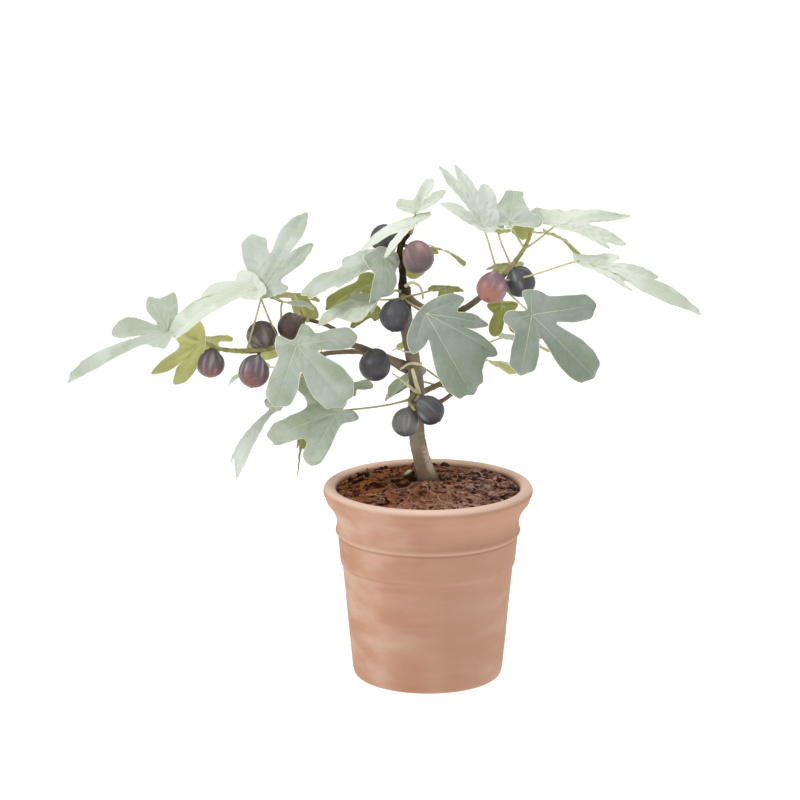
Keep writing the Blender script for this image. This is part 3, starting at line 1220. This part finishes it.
NARROW_SHAPE = ((-1, 0.74), (0, 1), (1, 0.74))
HEEL = 0.08
BLADE_HALF = 0.32
LARGE_LEAF = 90
LEAF_MESH = {"small": (12, 112), "large": (22, 176)}  # rings from the stalk's end, points in each
TEETH = {"deep": 0.024, "pitches": (7.6, 4.1), "from": 0.35}
VALLEY, SWELLING, TIP_FALL, RIPPLE = (0.8, 4.6), (0.18, 24), (0.17, 30), (0.6, 17)  # height, reach
RIPPLE_PITCH = 15
WAVE = {"least": 0.016, "more": 0.012, "small_leaf": 0.4}
CRUMPLE = {"height": 0.026, "size": 0.36, "seed": 3}
RIM = {"thick": 0.55, "sides": 5}
RIB = {"large": 0.9, "small": 0.6, "taper": 0.75, "reach": 0.95, "sides": 6}
SIDE_VEIN = {
    "thick": 0.34, "taper": 0.55, "first": 0.2, "apart": 0.15, "last": 0.93, "length": 0.31,
    "angle": 0.92, "bend": 0.9, "within": 0.94, "points": 9, "sides": 4,
}
STALK = {"radius": 1.7, "waist": 0.86, "root": (0.75, 14), "neck": (0.3, 16), "sag": 0.06,
         "points": 28, "sides": 10}


def outline_points(form):
    """The edge's knots on the flat blade, midrib along x and right side along y, as the lobes and
    bays of the form give them, round to the heel behind the stalk."""
    lobes, bay = FORM[form]
    knots, before = [], bay
    for i, (middle, length, half, _, *own) in enumerate(lobes):
        after = own[0] if own else bay
        for across, share in WIDE_SHAPE if length * half > WIDE_LOBE else NARROW_SHAPE:
            bay_reach = after if across > 0 else before
            knots.append((middle + across * half, max(length * share, bay_reach)))
        if i + 1 < len(lobes):
            following = lobes[i + 1]
            knots.append(((middle + half + following[0] - following[2]) / 2, after))
        before = after
    knots.append((180, HEEL))
    angle, reach = np.radians([knot[0] for knot in knots]), np.array([knot[1] for knot in knots])
    return np.stack([reach * np.cos(angle), reach * np.sin(angle)], axis=-1)


def rounded(knots, count):
    """A smooth closed curve through the knots, as that many points evenly along it, and how far
    along it each lies."""
    share = np.linspace(0, 1, 12, endpoint=False)[:, None]
    spans = [
        spline_span(*(knots[(i + step) % len(knots)] for step in (-1, 0, 1, 2)), share)
        for i in range(len(knots))
    ]
    curve = np.concatenate([*spans, knots[:1]])
    distance = distance_along(curve)
    even = np.linspace(0, distance[-1], count, endpoint=False)
    return read_curve(curve, distance, even), even


class Leaf:
    """One leaf's place and shape. Points on its flat blade, in shares of its length, become points
    in space: each direction from the stalk bends as an arc, and ribs, waves and a soft crumple
    give the surface its relief."""

    def __init__(self, seed, base, blade, form, roll, droop):
        heading, rise, length = blade
        self.base, self.length, self.droop, self.seed = base, length, droop, seed
        self.along, self.face, self.right = blade_axes(heading, rise, roll, droop)
        self.lobes = FORM[form][0]
        large = length > LARGE_LEAF
        random = np.random.default_rng(seed)
        self.phase = random.random(4) * 2 * math.pi
        self.wave = length * (WAVE["least"] + WAVE["more"] * random.random())
        self.wave *= 1 if large else WAVE["small_leaf"]
        self.rings, self.sides = LEAF_MESH["large" if large else "small"]
        self.shade = random.random()
        edge, even = rounded(outline_points(form), self.sides)
        coarse, small = (even * length / pitch for pitch in TEETH["pitches"])
        tooth = 0.6 - np.abs(np.sin(coarse + self.phase[0]))
        tooth += 0.3 * np.sin(small + self.phase[1])
        outer = np.clip((np.linalg.norm(edge, axis=1) - TEETH["from"]) / 0.3, 0, 1)
        self.edge = edge * (1 + TEETH["deep"] * tooth * outer)[:, None]
        self.edge_angle = np.arctan2(self.edge[:, 1], self.edge[:, 0])
        self.edge_reach = np.linalg.norm(self.edge, axis=1)

    def reach_at(self, angle):
        """How far the blade reaches in a direction from the stalk."""
        order = np.argsort(self.edge_angle)
        return np.interp(angle, self.edge_angle[order], self.edge_reach[order], period=2 * math.pi)

    def relief(self, flat, fullness):
        """Height of the surface: a valley along each main vein between low swellings, ripples
        between the side veins, a fall at the tip, waves that grow towards the edge and a slow
        crumple. Across a vein all of them fade as bell curves."""
        spot = flat * self.length
        height = np.zeros(len(flat))
        for middle, reach, *_ in self.lobes:
            if reach < 0.3:
                continue
            axis = np.array((math.cos(math.radians(middle)), math.sin(math.radians(middle))))
            run, off = spot @ axis, spot @ np.array((-axis[1], axis[0]))
            inside = np.clip(run / (0.12 * self.length), 0, 1)
            inside = inside * np.clip((reach * self.length * 1.02 - run) / 12, 0, 1)
            past = np.clip(run - 0.6 * reach * self.length, 0, None)
            ripple = np.sin((run - 0.8 * np.abs(off)) * 2 * math.pi / RIPPLE_PITCH + self.phase[2])
            height -= inside * VALLEY[0] * bell(off, VALLEY[1])
            height += SWELLING[0] * inside * (np.hypot(off, 3) - 3) * bell(off, SWELLING[1])
            height -= TIP_FALL[0] * past * bell(off, TIP_FALL[1])
            beside = np.clip(np.abs(off) / 4, 0, 1)
            height += RIPPLE[0] * inside * ripple * bell(off, RIPPLE[1]) * beside
        angle = np.arctan2(flat[:, 1], flat[:, 0])
        waves = np.sin(5 * angle + self.phase[0]) + 0.7 * np.sin(11 * angle + self.phase[1])
        outer = np.clip(np.linalg.norm(flat, axis=1) / 0.5, 0, 1)
        height += self.wave * fullness**2.5 * waves * outer
        deep = np.stack([spot[:, 0], spot[:, 1], np.full(len(flat), 50.0 * self.seed)], axis=-1)
        crumple = noise(deep, CRUMPLE["size"] * self.length, CRUMPLE["seed"])
        return height + CRUMPLE["height"] * self.length * fullness * crumple

    def place(self, flat, above=0.0):
        """Points in space of points on the flat blade, that far above its upper face's middle. A
        direction that starts at its lobe's lift comes down by the droop, along an arc."""
        angle = np.arctan2(flat[:, 1], flat[:, 0])
        share = np.linalg.norm(flat, axis=1)
        lifts = [(-180, 0), *((lobe[0], lobe[3]) for lobe in self.lobes), (180, 0)]
        lift = np.radians(read(lifts, np.degrees(angle)))
        bend = np.radians(self.droop * (0.6 + 0.4 * np.cos(angle))) * share
        bend = np.where(np.abs(bend) < 1e-4, 1e-4, bend)
        radius = self.length * share / bend
        slope = lift - bend
        out = radius * (np.sin(lift) - np.sin(slope))
        up = radius * (np.cos(slope) - np.cos(lift))
        fullness = np.clip(share / np.maximum(self.reach_at(angle), 1e-3), 0, 1)
        rise = self.relief(flat, fullness) + above
        outward = np.cos(angle)[:, None] * self.along + np.sin(angle)[:, None] * self.right
        normal = np.cos(slope)[:, None] * self.face - np.sin(slope)[:, None] * outward
        return self.base + out[:, None] * outward + up[:, None] * self.face + rise[:, None] * normal

    def blade(self, bundle):
        """Both faces as rings that grow from the stalk's end to the edge and back, the upper face
        in the bundle's first finish and the under face in its second."""
        out = np.linspace(0, 1, self.rings + 1)[1:, None, None]
        flat = (out * self.edge[None]).reshape(-1, 2)
        shape = (self.rings, self.sides)
        top = self.place(flat, BLADE_HALF).reshape(*shape, 3)
        low = self.place(flat, -BLADE_HALF).reshape(*shape, 3)[::-1]
        middle = np.full((1, 2), 1e-6)
        poles = (self.place(middle, BLADE_HALF)[0], self.place(middle, -BLADE_HALF)[0])
        across = np.linalg.norm(flat, axis=1).reshape(shape)
        across = np.concatenate([across, across[::-1]])
        values = np.stack([across, np.full_like(across, self.shade)], axis=-1)
        bundle.skin(np.concatenate([top, low]), np.repeat([0, 1], self.rings), values, poles)

    def rim(self, bundle):
        """A fine cord along the edge, level with the blade."""
        ring = self.place(self.edge)
        add_tube(bundle, ring, np.full(len(ring), RIM["thick"]), RIM["sides"], closed=True)

    def veins(self, ribs, side_veins, finish):
        """A tapering rib along each lobe, and side veins that leave it at intervals and curve
        towards the lobe's tip until they near the edge."""
        for middle, reach, *_ in self.lobes:
            angle, length = math.radians(middle), reach * RIB["reach"]
            axis = np.array((math.cos(angle), math.sin(angle)))
            share = np.linspace(0.005, length, max(8, int(20 * reach)))
            radii = RIB["large" if reach > 0.5 else "small"] * (1 - RIB["taper"] * share / length)
            line = self.place(share[:, None] * axis, BLADE_HALF)
            add_tube(ribs, line, radii, RIB["sides"], finish=finish)
            if reach < 0.45:
                continue
            out = np.linspace(0, SIDE_VEIN["length"] * reach, SIDE_VEIN["points"])
            for side in (-1, 1):
                turn = angle + side * (SIDE_VEIN["angle"] - SIDE_VEIN["bend"] * out)
                step = np.stack([np.cos(turn), np.sin(turn)], axis=-1) * (out[1] - out[0])
                first = SIDE_VEIN["first"] + 0.02 * side
                for start in np.arange(first, length * SIDE_VEIN["last"], SIDE_VEIN["apart"]):
                    line = np.cumsum(step, axis=0) + start * axis - step[0]
                    limit = SIDE_VEIN["within"] * self.reach_at(np.arctan2(line[:, 1], line[:, 0]))
                    inside = np.linalg.norm(line, axis=1) < limit
                    kept = len(line) if inside.all() else int(np.argmin(inside))
                    if kept < 3:
                        continue
                    radii = SIDE_VEIN["thick"] * (1 - SIDE_VEIN["taper"] * np.linspace(0, 1, kept))
                    line = self.place(line[:kept], BLADE_HALF * 0.8)
                    add_tube(side_veins, line, radii, SIDE_VEIN["sides"], finish=finish)


def bezier(a, b, c, d, count):
    """A cubic Bezier curve."""
    share = np.linspace(0, 1, count)[:, None]
    rest = 1 - share
    return a * rest**3 + 3 * b * rest**2 * share + 3 * c * rest * share**2 + d * share**3


def add_stalk(bundle, node, leaf):
    """The leaf's stalk: it sags a little, turns towards the midrib and ends inside the blade. It
    is thickest where it leaves the stem and swells again under the blade."""
    span = leaf.base - node
    length = np.linalg.norm(span)
    end = leaf.base - leaf.along * HEEL / 2 * leaf.length
    sag = node + span * 0.4 - np.array((0, 0, STALK["sag"] * length))
    straight = node + span * 0.75
    arrival = straight + (leaf.base - leaf.along * length / 4 - straight) * 0.4
    share = np.linspace(0, 1, STALK["points"])
    (root, root_short), (neck, neck_short) = STALK["root"], STALK["neck"]
    near_root, near_blade = np.exp(-share * root_short), np.exp(-(1 - share) * neck_short)
    swell = STALK["waist"] + root * near_root + neck * near_blade
    path = bezier(node, sag, arrival, end, STALK["points"])
    add_tube(bundle, path, STALK["radius"] * swell, STALK["sides"])


def leaf_finish(name, colour, drifted, roughness, sheen):
    """A matt leaf skin: paler than its neighbours or darker by its own shade, greener in soft
    drifts and towards the tips, with a whiter bloom in places, fine dust and a pebbled grain."""
    made = Finish(name)
    drift = made.noise(15.0, 3.0)
    bloom = made.noise(23.0, 2.0, made.stretched((1.0, 0.7, 1.3)))
    dust = made.noise(240.0, 4.0)
    toward_tip = (made.attribute("reach") + (drift - 0.5) * 1.4).smooth(0.45, 1.25) * 0.55
    skin = made.layers(
        colour,
        (drift.smooth(0.42, 0.62) * 0.6 + toward_tip * 0.5, drifted),
        (made.attribute("shade") * 0.3, drifted),
        (bloom.smooth(0.48, 0.68) * 0.4, tinted(colour, 1.22, 0.03)),
        (dust.smooth(0.5, 0.75) * 0.2, tinted(colour, 1.2)),
    )
    soft = {"Sheen_Weight": sheen, "Sheen_Roughness": 0.5}
    return made.surface(skin, roughness, dust, 0.16, 0.0004, 0.35, **soft)


blades = {tone: Bundle() for tone in TONES}
edges, ribs, side_veins, stalks = (Bundle() for _ in range(4))
for number, node, stalk_step, blade, form, roll, droop, tone in leaf_rows:
    leaf = Leaf(number, travel(node, stalk_step), blade, form, roll, droop)
    add_stalk(stalks, node, leaf)
    leaf.blade(blades[tone])
    leaf.rim(edges)
    leaf.veins(ribs, side_veins, list(TONES).index(tone))

rib_finishes, vein_finishes = [], []
for tone, (upper, drifted, under) in TONES.items():
    over = leaf_finish(f"{tone} leaf", upper, drifted, 0.6, 0.1)
    below = leaf_finish(f"{tone} leaf underside", under, tinted(under, 0.86), 0.7, 0.15)
    values = ("reach", "shade")
    blades[tone].piece(f"leaves_{tone}", "foliage", list(MASSES), over, below, value_names=values)
    rib = tuple(0.45 * part + 0.55 * cream for part, cream in zip(upper, RIB_CREAM))
    rib_finishes.append(plain_finish(f"{tone} rib", rib, 0.55, 300.0, 0.92, 0.1))
    vein = tinted(upper, 1.14, 0.02, most=0.95)
    vein_finishes.append(plain_finish(f"{tone} side vein", vein, 0.6, 300.0, 0.94, 0.1))
edge_finish = plain_finish("leaf edge", EDGE_COLOUR, 0.6, 300.0, 0.94, 0.1)
edges.piece("leaf_edges", "foliage", [], edge_finish)
ribs.piece("leaf_ribs", "foliage", [], *rib_finishes)
side_veins.piece("leaf_side_veins", "foliage", [], *vein_finishes)
stalk_finish = plain_finish("leaf stalk", STALK_COLOUR, 0.5, 60.0, 0.72, 0.15)
stalks.piece("leaf_stalks", "foliage", [], stalk_finish)

# ---------------------------------------------------------------- figs
# Ripe figs hang from the stems on short necks: soft purple-black drops with low ribs, a dusty
# bloom, pale streaks along them, and a small puckered eye at the far end.
FIG = {
    "sides": 72, "eye": 0.93, "eye_turn": 84, "neck": 2.4, "drop": 1.32, "shoulder": 1.8,
    "ribs": 15, "rib": 0.26, "dent": 0.5, "droop": 0.45,
    "streaks": ((-1.3, 0), (-0.75, 1), (-0.1, 1), (0.6, 0)), "eye_side": ((-1.1, 0), (0.9, 1)),
}
EYE = {"rings": ((1.8, 0.1), (1.1, 0.4), (0.4, 0.5)), "points": 12, "thick": 0.45, "sides": 6,
       "colour": (0.3, 0.2, 0.18)}
RIPENESS = {  # by the neck, by the eye, its streaks
    "plum": ((0.14, 0.11, 0.13), (0.2, 0.075, 0.066), (0.46, 0.4, 0.44)),
    "umber": ((0.125, 0.092, 0.09), (0.12, 0.065, 0.06), (0.38, 0.3, 0.28)),
    "slate": ((0.1, 0.1, 0.115), (0.05, 0.046, 0.055), (0.32, 0.33, 0.36)),
    "rose": ((0.27, 0.17, 0.235), (0.4, 0.165, 0.125), (0.8, 0.6, 0.58)),
    "mauve": ((0.34, 0.21, 0.215), (0.13, 0.1, 0.105), (0.44, 0.32, 0.33)),
    "ash": ((0.19, 0.19, 0.185), (0.14, 0.135, 0.13), (0.4, 0.4, 0.39)),
}


def add_fig(bundle, node, hang, radius, seed):
    """A ripe fig, a profile turned about its axis: the neck swells as one less a power of the
    distance from the widest place, which gives a drop, and the far end closes as an ellipse. Low
    ribs and dents fade at both ends. Its values are a pale streak's strength and how near the eye.
    Gives the eye's middle, its axis and two sides square to it."""
    middle = travel(node, hang)
    axis = direction(hang[0], hang[1]) + np.array((0, 0, -FIG["droop"]))
    axis /= np.linalg.norm(axis)
    behind = np.linspace(-hang[2], 0, 28)[:-1]
    drop = radius * np.clip(1 - (-behind / (FIG["drop"] * radius)) ** FIG["shoulder"], 0, 1)
    turn = np.radians(np.linspace(0, FIG["eye_turn"], 20))
    run = np.concatenate([behind, FIG["eye"] * radius * np.sin(turn)])
    girth = np.concatenate([(drop**4 + FIG["neck"] ** 4) ** 0.25, radius * np.cos(turn)])
    angle = circle(FIG["sides"])[None]
    flat = np.broadcast_arrays(20 * np.cos(angle), 20 * np.sin(angle), run[:, None] + 97.0 * seed)
    spot = np.stack(flat, axis=-1)
    fade = (np.clip(girth / radius, 0, 1) ** 2)[:, None]
    ribs = np.sin(FIG["ribs"] * angle + 1.6 * noise(spot, 16, seed))
    ribs = ribs * (0.55 + 0.45 * noise(spot, 12, seed + 1))
    width = girth[:, None] + fade * (FIG["rib"] * ribs + FIG["dent"] * noise(spot, 19, seed + 2))
    along = (run / radius)[:, None]
    streak = np.clip(0.1 + 1.9 * noise(spot * (1, 1, 0.2), 4.2, seed + 5), 0, 1) ** 2.2
    streak = streak * read(FIG["streaks"], along)
    toward_eye = np.broadcast_to(read(FIG["eye_side"], along), streak.shape)
    nodding = node + (middle - node) * 0.4
    bent = bezier(node, nodding, middle - axis * hang[2] * 0.6, middle, len(behind) + 1)[:-1]
    spine = np.concatenate([bent, middle + run[len(behind):, None] * axis])
    rows = tube(spine, width, FIG["sides"], carried=True)
    bundle.skin(rows, values=np.stack([streak, toward_eye], axis=-1))
    side = np.cross(axis, np.eye(3)[np.argmin(np.abs(axis))])
    side /= np.linalg.norm(side)
    return middle + axis * radius * FIG["eye"], axis, side, np.cross(axis, side)


figs = {name: Bundle() for name in RIPENESS}
eyes = Bundle()
ring = circle(EYE["points"])
for number, node, hang, radius, ripeness in fig_rows:
    end, axis, side, other = add_fig(figs[ripeness], node, hang, radius, number)
    around = np.cos(ring)[:, None] * side + np.sin(ring)[:, None] * other
    for scale, lift in EYE["rings"]:
        loop = end + axis * lift + scale * around
        add_tube(eyes, loop, np.full(len(ring), EYE["thick"]), EYE["sides"], closed=True)
for name, (by_neck, by_eye, streaks) in RIPENESS.items():
    ripe = Finish(f"{name} fig")
    blush = (ripe.attribute("toward_eye") + ripe.noise(42.0, 3.0) * 0.5).smooth(0.6, 1.25)
    skin = ripe.layers(
        by_neck,
        (blush, by_eye),
        (ripe.attribute("streak") * 0.6, streaks),
        (ripe.noise(260.0, 4.0).smooth(0.55, 0.8) * 0.25, streaks),
    )
    ripe.surface(skin, 0.46, ripe.noise(300.0, 3.0), 0.12, 0.0004)
    values = ("streak", "toward_eye")
    figs[name].piece(f"figs_{name}", "foliage", [], ripe.material, value_names=values)
eyes.piece("fig_eyes", "foliage", [], plain_finish("fig eye", EYE["colour"], 0.7))
